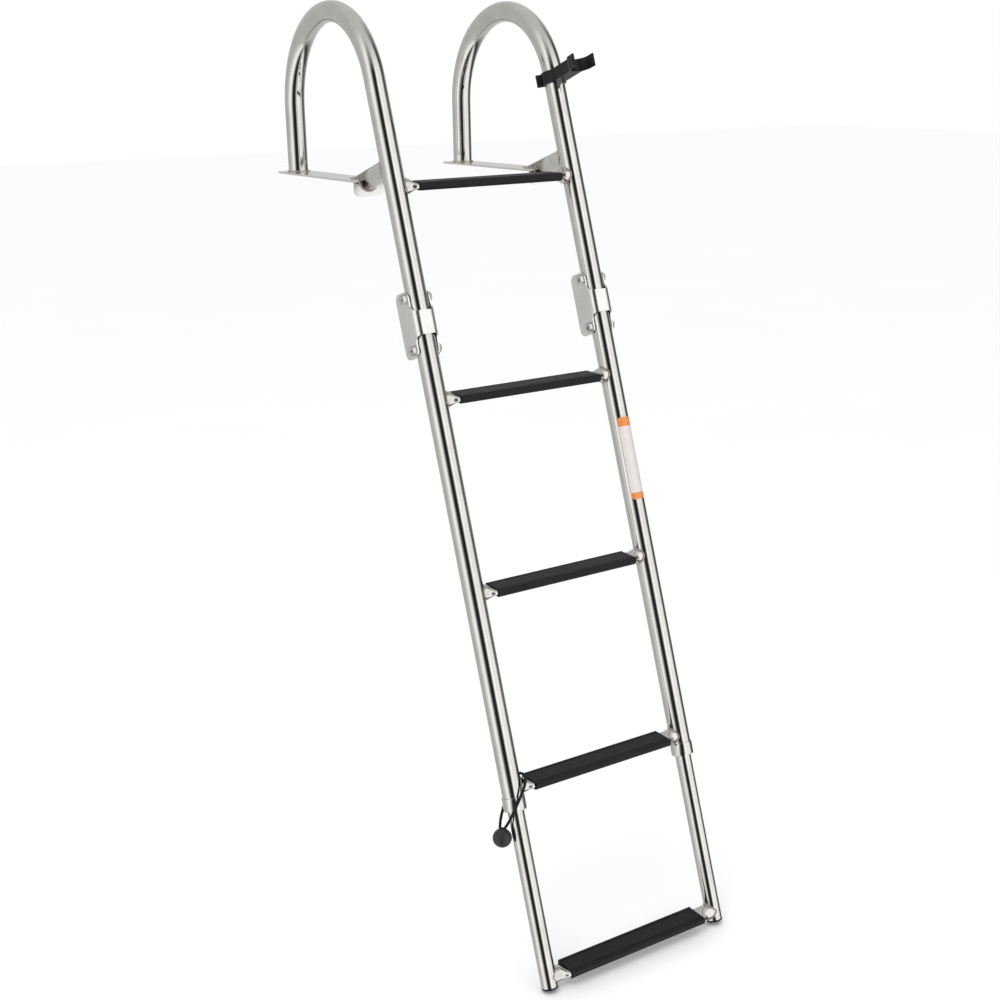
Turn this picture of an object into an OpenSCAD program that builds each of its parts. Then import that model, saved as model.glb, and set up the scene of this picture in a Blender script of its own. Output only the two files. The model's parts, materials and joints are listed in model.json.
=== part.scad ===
// Boat boarding ladder: two hooks that stand on the deck, a double-pivot fold below the first
// step, and a telescoping bottom step.
// +Z is up, +Y points inboard over the deck and +X to the right of a climber who faces the boat.
// The origin lies on the deck's edge, on the deck surface, midway between the two hooks.

/* [Tubes] */
// Outside diameter of the hook tubes and the main side tubes
tube_od = 32; // [30:0.5:34]
// Outside diameter of the sliding tubes
slide_od = 25; // [23:0.5:26]
// Wall thickness of every tube
tube_wall = 1.5; // [1:0.1:2]
// Distance between the axes of the two side tubes
side_spacing = 316; // [300:1:360]
// Lean of the side tubes from the vertical, in degrees
lean = 18.7; // [15:0.1:22]

/* [Hooks] */
// Distance from the deck edge to the side tube's axis, at deck level
edge_gap = 85; // [80:1:95]
// Distance between the hook's upright leg and the side tube's axis, at deck level
hook_depth = 333; // [325:1:345]
// Bend radius of the hook, to the tube's axis
hook_r = 145; // [140:1:148]
// Width of a deck plate
plate_w = 50; // [44:1:60]
// Length of deck plate behind the upright leg's axis
plate_tail = 32; // [25:1:45]
// Thickness of the deck plates
plate_t = 3; // [2:0.5:3]
// Depth of the lip that hooks over the deck edge
lip_h = 21; // [18:1:30]
// Outside diameter of the brace tubes
brace_od = 30; // [26:1:30]
// Rise of the brace tubes from the horizontal, in degrees
brace_rise = 17.8; // [15:0.1:20]

/* [Steps] */
// Distance of the top step's axis below deck level, measured along the side tubes
step_1_at = 3; // [0:1:10]
// The same for the second step, the first one below the fold
step_2_at = 321; // [316:1:330]
// Distance between steps 2, 3 and 4
step_pitch = 290; // [280:1:294]
// Distance between step 4 and the bottom step, with the ladder drawn out
last_pitch = 285; // [280:1:300]
// Diameter of the step tubes where they are round
step_od = 24; // [20:1:24]
// Thickness of the step tubes where they are pressed flat
flat_t = 9; // [8:0.5:12]
// Length of a tread
tread_l = 252; // [240:1:256]
// Depth of a tread, front to back
tread_d = 40.5; // [39:0.5:48]

/* [Fold] */
// Distance of the fold's middle below deck level, along the side tubes
fold_at = 206; // [200:1:215]
// Distance between the two pivot bolts of a bracket
pivot_gap = 76; // [74:1:80]
// Diameter of the pivot bolts
bolt_d = 8; // [6:1:8]
// Length of a bracket's ears
ear_l = 98; // [94:1:102]
// How far the ears reach behind the side tube's axis
ear_reach = 31; // [26:1:34]
// Height of the bracket's web, which is the stop of the fold
web_h = 35; // [30:1:36]

/* [Telescope] */
// Where the sliding tubes end inside the side tubes
slide_top = 870; // [866:1:872]

/* [Hidden] */
$fn = 64;

LEFT = -1;
RIGHT = 1;
SIDES = [LEFT, RIGHT];
side_x = side_spacing / 2;
tube_r = tube_od / 2;
bore_r = tube_r - tube_wall;
slide_r = slide_od / 2;
brace_r = brace_od / 2;
step_r = step_od / 2;
step_at = [step_1_at, step_2_at, step_2_at + step_pitch, step_2_at + 2 * step_pitch,
    step_2_at + 2 * step_pitch + last_pitch];
cut = 1; // how far a cutting solid runs past the face it opens

// The upright leg, and the centre of the bend that joins it to the leaning side tube
leg_y = hook_depth - edge_gap;
bend_y = leg_y - hook_r;
bend_z = ((bend_y + edge_gap) * cos(lean) - hook_r) / sin(lean);
bend_angle = 180 - lean;
bend_draw = 0.15; // how far the tube's wall draws in where it is bent
bend_end_at = -((bend_y - hook_r * cos(lean) + edge_gap) * sin(lean)
    + (bend_z + hook_r * sin(lean)) * cos(lean));

// The deck plate's bend into the lip
plate_bend_in = 2;
plate_bend_out = plate_bend_in + plate_t;
plate_corner_r = 10;
plate_end_y = leg_y + plate_tail;

// The fold's two pivots and the tube ends between them
upper_pivot_at = fold_at - pivot_gap / 2;
lower_pivot_at = fold_at + pivot_gap / 2;
tube_end_gap = 8;
hook_end_at = fold_at - tube_end_gap / 2;
side_top_at = fold_at + tube_end_gap / 2;
pivot_hole_r = bolt_d / 2 + 0.05;
plug_reach = 18; // how far a plug reaches past its bolt
bracket_gap = 0.3; // between a bracket and the tube that it turns on
bracket_t = 2.5;
bracket_in = tube_r + bracket_gap;
bracket_out = bracket_in + bracket_t;
web_round = 10; // inner rounding between a bracket's web and its ears
ear_front = 7; // how far the ears reach in front of the tube's axis, at the bolts
ear_corner_r = 11;
web_sweep_r = 11.5;
washer_r = 8;
washer_t = 1.2;
nut_h = 6.5;
nut_across = 13;
bolt_tip = 2.5; // how far a bolt stands out of its nut
bolt_head_r = 7.5;
bolt_head_h = 4;

// The telescope: collar, bushes and sliding tubes
slide_gap = 0.3;
collar_r = 17.5;
collar_top_at = step_at[3] + step_r + 0.5;
collar_end_at = collar_top_at + 20;
side_end_at = collar_end_at - 3;
collar_bush_top_at = side_end_at - 30;
slide_bush_end_at = collar_bush_top_at - 0.5;
slide_end_at = step_at[4] + 17;
cap_t = 2.5;
cap_plug = 14;

// The stow clip
clip_at = -151.5;
clip_h = 19;
clip_wall = 3;
clip_jaw_r = tube_r + 0.5;
clip_bridge_w = 24;
clip_mouth = 23; // width of the mouth that snaps on the hook tube
clip_lip_r = 1.8;
clip_lip_at = [13.9, 11.5];
clip_flare_at = [21.5, 14.5]; // where the mouth's flared lips end

// The retainer: an elastic cord looped round step tube 4, through a ball that holds its ends
cord_r = 2.2;
cord_sides = 10;
ball_r = 14.2;
ball_centre = [-185, -389, -920];
CORD_ROUTE = [
    [-184, -391, -907], [-181.8, -393.9, -901.1], [-179.5, -396.5, -895],
    [-176.8, -398.4, -888.9], [-173.9, -399.5, -882.7], [-170.8, -400.2, -876.5],
    [-167.4, -400.3, -870.5], [-163.5, -399.6, -864.8], [-159.2, -398.2, -859.5],
    [-154.7, -396.2, -854.5], [-150.1, -393.7, -850.1], [-145.7, -390.8, -845.5],
    [-141.7, -387.1, -841.2], [-138.9, -381.8, -837.8], [-137.8, -375.1, -836.5],
    [-138.2, -368.3, -837.6], [-139.5, -362.5, -841.1], [-141.8, -358.4, -846.2],
    [-144.9, -356, -851.9], [-148.4, -355.4, -857.9], [-152, -356, -863.8],
    [-155.2, -357.3, -869.8], [-158.5, -358.9, -875.7], [-161.8, -360.7, -881.5],
    [-165.6, -363.3, -886.7], [-169.8, -366.5, -891.3], [-174, -370.3, -895.3],
    [-178.2, -374.6, -898.8], [-182, -379.2, -902.4], [-185.5, -384, -906]];

function on_axis_y(at) = -edge_gap - at * sin(lean);
function on_axis_z(at) = -at * cos(lean);

// A place on a side tube's axis: +Z runs up the tube and +Y is square to it, inboard
module on_side(side, at) {
    translate([side * side_x, on_axis_y(at), on_axis_z(at)]) rotate([-lean, 0, 0]) children();
}

// Turns an outline drawn in (Y, Z) into a bar that runs along X, centred on the origin
module bar_x(length) {
    rotate([90, 0, 90]) linear_extrude(height = length, center = true) children();
}

module rod_x(radius, length) {
    rotate([0, 90, 0]) cylinder(r = radius, h = length, center = true);
}

module pipe(outer_r, inner_r, length) {
    difference() {
        cylinder(r = outer_r, h = length);
        translate([0, 0, -cut]) cylinder(r = inner_r, h = length + 2 * cut);
    }
}

// A hook's outline as one solid: upright leg, bend and leaning leg
module hook_solid(side, radius, past) {
    translate([side * side_x, leg_y, plate_t - past])
        cylinder(r = radius, h = bend_z - plate_t + past);
    translate([side * side_x, bend_y, bend_z]) rotate([90, 0, 90])
        rotate_extrude(angle = bend_angle) translate([hook_r, 0]) circle(r = radius - bend_draw);
    on_side(side, hook_end_at + past)
        cylinder(r = radius, h = hook_end_at + past - bend_end_at);
}

module hook_tube(side) {
    color("silver") difference() {
        hook_solid(side, tube_r, 0);
        hook_solid(side, bore_r, cut);
        on_side(side, upper_pivot_at) rod_x(pivot_hole_r, tube_od + 2 * cut);
    }
}

module rounded_end(width, length, radius) {
    translate([-width / 2, 0]) square([width, length - radius]);
    translate([-width / 2 + radius, 0]) square([width - 2 * radius, length]);
    for (side = SIDES) translate([side * (width / 2 - radius), length - radius]) circle(r = radius);
}

module deck_plate(side) {
    color("gainsboro") translate([side * side_x, 0, 0]) {
        translate([0, plate_bend_in, 0]) linear_extrude(height = plate_t)
            rounded_end(plate_w, plate_end_y - plate_bend_in, plate_corner_r);
        translate([0, 0, -plate_bend_in]) rotate([90, 0, 0]) linear_extrude(height = plate_t)
            mirror([0, 1]) rounded_end(plate_w, lip_h - plate_bend_in, plate_corner_r);
        bar_x(plate_w) plate_bend_outline();
    }
}

module plate_bend_outline() {
    intersection() {
        translate([plate_bend_in, -plate_bend_in]) difference() {
            circle(r = plate_bend_out);
            circle(r = plate_bend_in);
        }
        translate([-plate_t, -plate_bend_in]) square(plate_bend_out);
    }
}

// What the plate and its lip take away from a tube that is welded over their bend
module plate_seat(side) {
    deep = 60;
    translate([side * side_x, 0, 0]) {
        bar_x(plate_w) {
            translate([plate_bend_in, -deep]) square([plate_end_y, deep + plate_t]);
            translate([-plate_t, -deep]) square([deep, deep - plate_bend_in]);
            translate([plate_bend_in, -plate_bend_in]) circle(r = plate_bend_out);
        }
    }
}

module brace_tube(side) {
    reach = 160;
    color("darkgray") difference() {
        translate([side * side_x, -plate_t, plate_t]) rotate([90 - brace_rise, 0, 0])
            translate([0, 0, -reach / 2]) pipe(brace_r, brace_r - tube_wall, reach);
        plate_seat(side);
        on_side(side, 0) translate([0, -reach / 2, 0])
            cube([tube_od + 2 * cut, reach, 2 * reach], center = true);
        on_side(side, 0) cylinder(r = tube_r, h = 2 * reach, center = true);
    }
}

// Round at the ends, pressed flat under the tread and coped to the tubes at both ends
module step_tube(number, post_r) {
    at = step_at[number - 1];
    color("silver") difference() {
        translate([0, on_axis_y(at), on_axis_z(at)]) {
            difference() {
                step_tube_solid(0);
                step_tube_solid(tube_wall);
            }
        }
        for (side = SIDES) on_side(side, at) cylinder(r = post_r, h = 4 * step_od, center = true);
    }
}

module step_tube_solid(inset) {
    flat_end = tread_l / 2;
    round_end = tread_l / 2 + 14;
    thick = flat_t - 2 * inset;
    wide = flat_w() - 2 * inset;
    bar_x(2 * flat_end) stadium(wide, thick);
    for (side = SIDES) {
        hull() {
            translate([side * flat_end, 0, 0]) bar_x(0.02) stadium(wide, thick, $fn = 32);
            translate([side * round_end, 0, 0]) rod_x(step_r - inset, 0.02, $fn = 32);
        }
        translate([side * (round_end + side_x) / 2, 0, 0])
            rod_x(step_r - inset, side_x - round_end);
    }
}

// A tube keeps its girth when it is pressed flat
function flat_w() = flat_t + PI * (step_od - flat_t) / 2;

module stadium(wide, thick) {
    square([wide - thick, thick], center = true);
    for (side = SIDES) translate([side * (wide - thick) / 2, 0]) circle(d = thick);
}

// A ribbed sleeve that snaps round the flat of the step tube, open below
module tread(number) {
    at = step_at[number - 1];
    top = flat_t / 2 + 2;
    bottom = -flat_t / 2 - 1.5;
    rib_pitch = 4.4;
    rib_count = 8;
    slot_w = 14;
    color([0.09, 0.09, 0.1]) translate([0, on_axis_y(at), on_axis_z(at)]) bar_x(tread_l)
        difference() {
            tread_outline(top, bottom);
            stadium(flat_w(), flat_t);
            translate([-slot_w / 2, bottom - cut]) square([slot_w, -bottom]);
            for (i = [0 : rib_count - 1])
                translate([(i - (rib_count - 1) / 2) * rib_pitch, top]) circle(d = 1.6);
        }
}

module tread_outline(top, bottom) {
    edge = 4.5;
    half = tread_d / 2;
    polygon([[-half + edge, bottom], [half - edge, bottom], [half, bottom + edge],
        [half, top - edge / 2], [half - edge / 2, top], [-half + edge / 2, top],
        [-half, top - edge / 2], [-half, bottom + edge]]);
}

// Nylon plug in a tube's end, with the pivot bolt through it
module end_plug(side, pivot_at, low_at, high_at) {
    color("white") difference() {
        on_side(side, low_at) cylinder(r = bore_r, h = low_at - high_at);
        on_side(side, pivot_at) rod_x(pivot_hole_r, tube_od);
    }
}

// U-shaped strap: the web runs round the outboard side and each bolt goes through both ears
module fold_bracket(side) {
    color("gainsboro") intersection() {
        on_side(side, fold_at) difference() {
            translate([0, 0, -ear_l / 2]) linear_extrude(height = ear_l) difference() {
                bracket_outline(bracket_out, web_round + bracket_t);
                bracket_outline(bracket_in, web_round);
                translate([-bracket_in, ear_reach]) square([2 * bracket_in, cut]);
            }
            for (end = SIDES) translate([0, 0, end * pivot_gap / 2])
                rod_x(pivot_hole_r, 4 * tube_od);
        }
        on_side(side, fold_at) bar_x(4 * tube_od) ear_outline();
    }
}

module bracket_outline(half, corner) {
    translate([-half, -half + corner]) square([2 * half, half - corner + ear_reach]);
    translate([-half + corner, -half]) square([2 * (half - corner), corner]);
    for (side = SIDES) translate([side * (half - corner), -half + corner]) circle(r = corner);
}

// A bracket's side view: the web's ends sweep back to the ears in an S
module ear_outline() {
    half = ear_l / 2;
    for (end = SIDES) {
        for (at = [-ear_front + ear_corner_r, ear_reach - ear_corner_r])
            translate([at, end * (half - ear_corner_r)]) circle(r = ear_corner_r);
        mirror([0, end > 0 ? 0 : 1]) translate([-ear_front, web_h / 2]) web_sweep();
    }
    translate([-ear_front, -half + ear_corner_r])
        square([ear_front + ear_reach, ear_l - 2 * ear_corner_r]);
    translate([-ear_front + ear_corner_r, -half])
        square([ear_front + ear_reach - 2 * ear_corner_r, ear_l]);
    translate([-bracket_out - cut, -web_h / 2]) square([bracket_out + cut, web_h]);
}

module web_sweep() {
    difference() {
        translate([-web_sweep_r, 0]) square(web_sweep_r);
        translate([-web_sweep_r, web_sweep_r]) circle(r = web_sweep_r);
    }
}

module pivot_bolts(at) {
    color("silver") for (side = SIDES) on_side(side, at) {
        grip = 2 * (bracket_out + washer_t) + nut_h + bolt_tip;
        translate([-(nut_h + bolt_tip) / 2, 0, 0]) rod_x(bolt_d / 2, grip);
        translate([bracket_out + washer_t, 0, 0]) rotate([0, 90, 0]) bolt_head();
    }
}

// Button head with a hexagonal socket
module bolt_head() {
    dome_r = (bolt_head_r * bolt_head_r + bolt_head_h * bolt_head_h) / (2 * bolt_head_h);
    difference() {
        intersection() {
            cylinder(r = bolt_head_r, h = bolt_head_h);
            translate([0, 0, bolt_head_h - dome_r]) sphere(r = dome_r);
        }
        translate([0, 0, bolt_head_h - 2.4]) cylinder(d = 5.8, h = 3, $fn = 6);
    }
}

module pivot_nuts() {
    color("silver") for (side = SIDES, at = [upper_pivot_at, lower_pivot_at]) on_side(side, at)
        translate([-bracket_out - washer_t - nut_h, 0, 0]) rotate([0, 90, 0]) difference() {
            intersection() {
                cylinder(d = nut_across / cos(30), h = nut_h, $fn = 6);
                translate([0, 0, nut_h / 2]) sphere(r = 8.1);
            }
            translate([0, 0, -cut]) cylinder(r = bolt_d / 2, h = nut_h + 2 * cut);
        }
}

module pivot_washers() {
    color("gainsboro") for (side = SIDES, at = [upper_pivot_at, lower_pivot_at], face = SIDES)
        on_side(side, at) translate([face * (bracket_out + washer_t / 2), 0, 0])
            rotate([0, 90, 0]) translate([0, 0, -washer_t / 2])
                pipe(washer_r, pivot_hole_r, washer_t);
}

module side_tube(side) {
    color("silver") difference() {
        on_side(side, side_end_at) pipe(tube_r, bore_r, side_end_at - side_top_at);
        on_side(side, lower_pivot_at) rod_x(pivot_hole_r, tube_od + 2 * cut);
    }
}

// Ferrule on the side tube's lower end, with a lip that keeps the bush in
module collar(side) {
    lip_t = collar_end_at - side_end_at;
    color("gainsboro") on_side(side, collar_end_at) difference() {
        cylinder(r = collar_r, h = collar_end_at - collar_top_at);
        translate([0, 0, lip_t]) cylinder(r = tube_r, h = collar_end_at);
        translate([0, 0, -cut]) cylinder(r = slide_r + slide_gap, h = collar_end_at);
    }
}

module collar_bush(side) {
    color("white") on_side(side, side_end_at)
        pipe(bore_r, slide_r + slide_gap, side_end_at - collar_bush_top_at);
}

module slide_tube(side) {
    color("silver") on_side(side, slide_end_at - cap_t)
        pipe(slide_r, slide_r - tube_wall, slide_end_at - cap_t - slide_top);
}

// Runs inside the side tube and stops on the collar's bush
module slide_bush(side) {
    color("white") on_side(side, slide_bush_end_at)
        pipe(bore_r - slide_gap, slide_r, slide_bush_end_at - slide_top);
}

module foot_cap(side) {
    color([0.1, 0.1, 0.11]) on_side(side, slide_end_at) {
        cylinder(r = slide_r, h = cap_t);
        cylinder(r = slide_r - tube_wall, h = cap_t + cap_plug);
    }
}

// Two jaws back to back: one snaps on the hook tube, the other holds the folded side tube
module stow_clip() {
    color([0.09, 0.09, 0.1]) on_side(RIGHT, clip_at) translate([0, 0, -clip_h / 2]) {
        linear_extrude(height = clip_h) {
            clip_fixed_jaw();
            clip_bridge();
            translate([0, -pivot_gap]) clip_open_jaw();
        }
    }
}

module clip_fixed_jaw() {
    mouth_y = sqrt(tube_r * tube_r - clip_mouth * clip_mouth / 4);
    difference() {
        circle(r = tube_r + clip_wall);
        circle(r = tube_r);
        translate([-tube_od, mouth_y]) square(2 * tube_od);
    }
    for (side = SIDES) hull() {
        translate([side * clip_lip_at[0], clip_lip_at[1]]) circle(r = clip_lip_r);
        translate([side * clip_flare_at[0], clip_flare_at[1]]) circle(r = clip_lip_r);
    }
}

module clip_bridge() {
    difference() {
        translate([-clip_bridge_w / 2, -pivot_gap]) square([clip_bridge_w, pivot_gap]);
        circle(r = tube_r);
        translate([0, -pivot_gap]) circle(r = clip_jaw_r);
    }
}

module clip_open_jaw() {
    jaw_l = 9;
    for (side = SIDES) {
        translate([side * (clip_jaw_r + clip_wall / 2) - clip_wall / 2, -jaw_l])
            square([clip_wall, jaw_l]);
        translate([side * (clip_jaw_r + clip_lip_r + 0.2), -jaw_l]) circle(r = clip_lip_r);
    }
    difference() {
        circle(r = clip_jaw_r + clip_wall);
        circle(r = clip_jaw_r);
        translate([-tube_od, -2 * tube_od]) square(2 * tube_od);
    }
}

// A thin sticker round the outboard side of the right side tube
module safety_label() {
    label_t = 0.3;
    label_top_at = 392;
    label_end_at = 523;
    label_wrap = 90;
    color("orange") on_side(RIGHT, label_end_at) rotate([0, 0, -90 - label_wrap / 2])
        rotate_extrude(angle = label_wrap) translate([tube_r, 0])
            square([label_t, label_end_at - label_top_at]);
}

module retainer_ball() {
    neck_r = 5;
    color([0.1, 0.1, 0.11]) translate(ball_centre) {
        sphere(r = ball_r);
        cylinder(r = neck_r, h = ball_r + 1);
    }
}

// Sweeps a tube with flat ends along a route of points
module swept_tube(route, radius, sides) {
    last = len(route) - 1;
    aims = [for (i = [0 : last]) unit(route[min(i + 1, last)] - route[max(i - 1, 0)])];
    first_side = unit(cross(aims[0], [0, 0, 1]) + cross(aims[0], [1, 0, 0]));
    across = carried(aims, first_side);
    ring_points = [for (i = [0 : last], k = [0 : sides - 1])
        route[i] + radius * (cos(360 * k / sides) * across[i]
            + sin(360 * k / sides) * cross(aims[i], across[i]))];
    walls = [for (i = [0 : last - 1], k = [0 : sides - 1])
        [i * sides + k, i * sides + (k + 1) % sides,
            (i + 1) * sides + (k + 1) % sides, (i + 1) * sides + k]];
    start_face = [for (k = [sides - 1 : -1 : 0]) k];
    end_face = [for (k = [0 : sides - 1]) last * sides + k];
    polyhedron(points = ring_points, faces = concat([start_face], walls, [end_face]));
}

function unit(v) = v / norm(v);

// Carries the first ring's side direction along the route without twisting it
function carried(aims, side, i = 0) = i >= len(aims) ? []
    : let(flat = unit(side - (side * aims[i]) * aims[i]))
        concat([flat], carried(aims, flat, i + 1));

module retainer_cord() {
    color([0.08, 0.08, 0.08]) swept_tube(CORD_ROUTE, cord_r, cord_sides);
}

hook_tube(LEFT);  // hook_tube_left
hook_tube(RIGHT);  // hook_tube_right
deck_plate(LEFT);  // deck_plate_left
deck_plate(RIGHT);  // deck_plate_right
brace_tube(LEFT);  // brace_tube_left
brace_tube(RIGHT);  // brace_tube_right
end_plug(LEFT, upper_pivot_at, hook_end_at, upper_pivot_at - plug_reach);  // hook_plug_left
end_plug(RIGHT, upper_pivot_at, hook_end_at, upper_pivot_at - plug_reach);  // hook_plug_right
step_tube(1, tube_r);  // step_tube_1
step_tube(2, tube_r);  // step_tube_2
step_tube(3, tube_r);  // step_tube_3
step_tube(4, tube_r);  // step_tube_4
step_tube(5, slide_r);  // step_tube_5
tread(1);  // tread_1
tread(2);  // tread_2
tread(3);  // tread_3
tread(4);  // tread_4
tread(5);  // tread_5
stow_clip();
fold_bracket(LEFT);  // fold_bracket_left
fold_bracket(RIGHT);  // fold_bracket_right
pivot_bolts(upper_pivot_at);  // upper_pivot_bolts
pivot_bolts(lower_pivot_at);  // lower_pivot_bolts
pivot_nuts();
pivot_washers();
side_tube(LEFT);  // side_tube_left
side_tube(RIGHT);  // side_tube_right
end_plug(LEFT, lower_pivot_at, lower_pivot_at + plug_reach, side_top_at);  // side_plug_left
end_plug(RIGHT, lower_pivot_at, lower_pivot_at + plug_reach, side_top_at);  // side_plug_right
collar(LEFT);  // collar_left
collar(RIGHT);  // collar_right
collar_bush(LEFT);  // collar_bush_left
collar_bush(RIGHT);  // collar_bush_right
safety_label();
slide_tube(LEFT);  // slide_tube_left
slide_tube(RIGHT);  // slide_tube_right
slide_bush(LEFT);  // slide_bush_left
slide_bush(RIGHT);  // slide_bush_right
foot_cap(LEFT);  // foot_cap_left
foot_cap(RIGHT);  // foot_cap_right
retainer_cord();
retainer_ball();
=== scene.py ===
"""Boat boarding ladder: the looks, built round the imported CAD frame. Metres, in the CAD's frame."""

import json
import math

import bmesh
import bpy
from mathutils import Matrix, Vector

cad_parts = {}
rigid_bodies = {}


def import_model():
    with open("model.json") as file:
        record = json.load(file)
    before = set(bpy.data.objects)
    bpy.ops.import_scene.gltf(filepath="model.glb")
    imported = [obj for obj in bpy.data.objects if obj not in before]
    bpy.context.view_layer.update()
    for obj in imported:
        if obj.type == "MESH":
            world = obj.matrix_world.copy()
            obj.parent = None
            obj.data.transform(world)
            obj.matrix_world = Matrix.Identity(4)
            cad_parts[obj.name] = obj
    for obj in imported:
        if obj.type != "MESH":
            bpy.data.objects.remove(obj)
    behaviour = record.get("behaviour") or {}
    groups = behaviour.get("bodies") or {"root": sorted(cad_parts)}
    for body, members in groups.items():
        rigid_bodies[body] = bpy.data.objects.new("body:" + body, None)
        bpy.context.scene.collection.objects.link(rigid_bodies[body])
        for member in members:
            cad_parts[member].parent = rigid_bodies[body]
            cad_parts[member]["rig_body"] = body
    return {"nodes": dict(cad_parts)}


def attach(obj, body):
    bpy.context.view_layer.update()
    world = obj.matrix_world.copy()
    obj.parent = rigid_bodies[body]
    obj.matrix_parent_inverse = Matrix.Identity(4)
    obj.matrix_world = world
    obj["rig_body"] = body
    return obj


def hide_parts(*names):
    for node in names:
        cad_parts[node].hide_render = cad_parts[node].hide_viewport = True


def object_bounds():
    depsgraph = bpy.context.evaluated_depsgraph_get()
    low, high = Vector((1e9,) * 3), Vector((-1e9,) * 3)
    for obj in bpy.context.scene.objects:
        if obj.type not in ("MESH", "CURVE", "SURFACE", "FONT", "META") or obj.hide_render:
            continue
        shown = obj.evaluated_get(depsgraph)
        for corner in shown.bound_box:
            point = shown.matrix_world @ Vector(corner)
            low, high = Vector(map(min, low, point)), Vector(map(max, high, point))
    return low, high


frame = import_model()
CAD_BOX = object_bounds()

# ---------------------------------------------------------------- sizes shared with the CAD
MM = 0.001
LEFT, RIGHT = -1, 1
SIDES = {"left": LEFT, "right": RIGHT}
LEAN = math.radians(18.7)
SIDE_X = 158 * MM
EDGE_GAP = 85 * MM
LEG_Y = 248 * MM
HOOK_R = 145 * MM
TUBE_R, SLIDE_R, BRACE_R, STEP_R = 16 * MM, 12.5 * MM, 15 * MM, 12 * MM
WALL = 1.5 * MM
BEND_Y = LEG_Y - HOOK_R
BEND_Z = ((BEND_Y + EDGE_GAP) * math.cos(LEAN) - HOOK_R) / math.sin(LEAN)
PLATE_T, PLATE_W, PLATE_END_Y, LIP_H = 3 * MM, 50 * MM, 280 * MM, 21 * MM
PLATE_BEND, PLATE_CORNER = 2 * MM, 10 * MM  # radii: inside the bend, and at the corners
BRACE_RISE = math.radians(17.8)
STEP_AT = [3 * MM, 321 * MM, 611 * MM, 901 * MM, 1186 * MM]
FLAT_T, FLAT_W = 9 * MM, (9 + math.pi * 7.5) * MM
TREAD_L, TREAD_D = 252 * MM, 40.5 * MM
TREAD_TOP, TREAD_LOW = 6.5 * MM, -6 * MM
FLAT_END, ROUND_END = TREAD_L / 2, TREAD_L / 2 + 14 * MM  # between them a step tube turns round
FOLD_AT, PIVOT_GAP = 206 * MM, 76 * MM
PIVOTS = (FOLD_AT - PIVOT_GAP / 2, FOLD_AT + PIVOT_GAP / 2)
HOOK_END_AT, SIDE_TOP_AT = FOLD_AT - 4 * MM, FOLD_AT + 4 * MM
BRACKET_IN, BRACKET_T = 16.3 * MM, 2.5 * MM
BRACKET_OUT = BRACKET_IN + BRACKET_T
COLLAR_TOP_AT, COLLAR_END_AT, SIDE_END_AT = 913.5 * MM, 933.5 * MM, 930.5 * MM
COLLAR_R = 17.5 * MM
SLIDE_TOP_AT, SLIDE_END_AT, CAP_T = 870 * MM, 1203 * MM, 2.5 * MM
CLIP_AT, CLIP_H = -151.5 * MM, 19 * MM
BALL_R, BALL_CENTRE = 14.2 * MM, Vector((-185, -389, -920)) * MM
LABEL_TOP_AT, LABEL_LOW_AT = 392 * MM, 523 * MM
LABEL_LENGTH, LABEL_HALF_TURN = LABEL_LOW_AT - LABEL_TOP_AT, math.radians(44.5)
CORD_R, CORD_LENGTH = 2.2 * MM, 202 * MM
CORD_ROUTE = [
    (-184, -391, -907), (-181.8, -393.9, -901.1), (-179.5, -396.5, -895),
    (-176.8, -398.4, -888.9), (-173.9, -399.5, -882.7), (-170.8, -400.2, -876.5),
    (-167.4, -400.3, -870.5), (-163.5, -399.6, -864.8), (-159.2, -398.2, -859.5),
    (-154.7, -396.2, -854.5), (-150.1, -393.7, -850.1), (-145.7, -390.8, -845.5),
    (-141.7, -387.1, -841.2), (-138.9, -381.8, -837.8), (-137.8, -375.1, -836.5),
    (-138.2, -368.3, -837.6), (-139.5, -362.5, -841.1), (-141.8, -358.4, -846.2),
    (-144.9, -356, -851.9), (-148.4, -355.4, -857.9), (-152, -356, -863.8),
    (-155.2, -357.3, -869.8), (-158.5, -358.9, -875.7), (-161.8, -360.7, -881.5),
    (-165.6, -363.3, -886.7), (-169.8, -366.5, -891.3), (-174, -370.3, -895.3),
    (-178.2, -374.6, -898.8), (-182, -379.2, -902.4), (-185.5, -384, -906),
]

CAMERA_AZIMUTH = math.radians(-32.13)
X = Vector((1, 0, 0))
UP_TUBE = Vector((0, math.sin(LEAN), math.cos(LEAN)))  # up along the side tubes
INBOARD = Vector((0, math.cos(LEAN), -math.sin(LEAN)))  # square to them, towards the boat


def on_side(side, at, x=0.0, inboard=0.0):
    """A point beside a side tube's axis, at that distance down the tube."""
    axis = Vector((side * SIDE_X, -EDGE_GAP, 0)) - at * UP_TUBE
    return axis + x * X + inboard * INBOARD


def step_centre(number):
    """The middle of a step; step 1 is the top one."""
    at = STEP_AT[number - 1]
    return Vector((0, -EDGE_GAP - at * math.sin(LEAN), -at * math.cos(LEAN)))


# ---------------------------------------------------------------- camera
def make_camera():
    target, distance = Vector((0.0131, -0.085, -0.512)), 2.341
    az, el, roll = CAMERA_AZIMUTH, math.radians(16.91), math.radians(-1.08)
    back = Vector((math.sin(az) * math.cos(el), -math.cos(az) * math.cos(el), math.sin(el)))
    right = Vector((math.cos(az), math.sin(az), 0))
    up = back.cross(right)
    turned_right = math.cos(roll) * right + math.sin(roll) * up
    turned_up = -math.sin(roll) * right + math.cos(roll) * up
    data = bpy.data.cameras.new("camera")
    data.lens, data.sensor_width = 51.8, 36
    camera = bpy.data.objects.new("camera", data)
    bpy.context.scene.collection.objects.link(camera)
    axes = Matrix((turned_right, turned_up, back)).transposed()
    camera.matrix_world = Matrix.Translation(target + back * distance) @ axes.to_4x4()
    bpy.context.scene.camera = camera


make_camera()


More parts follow.
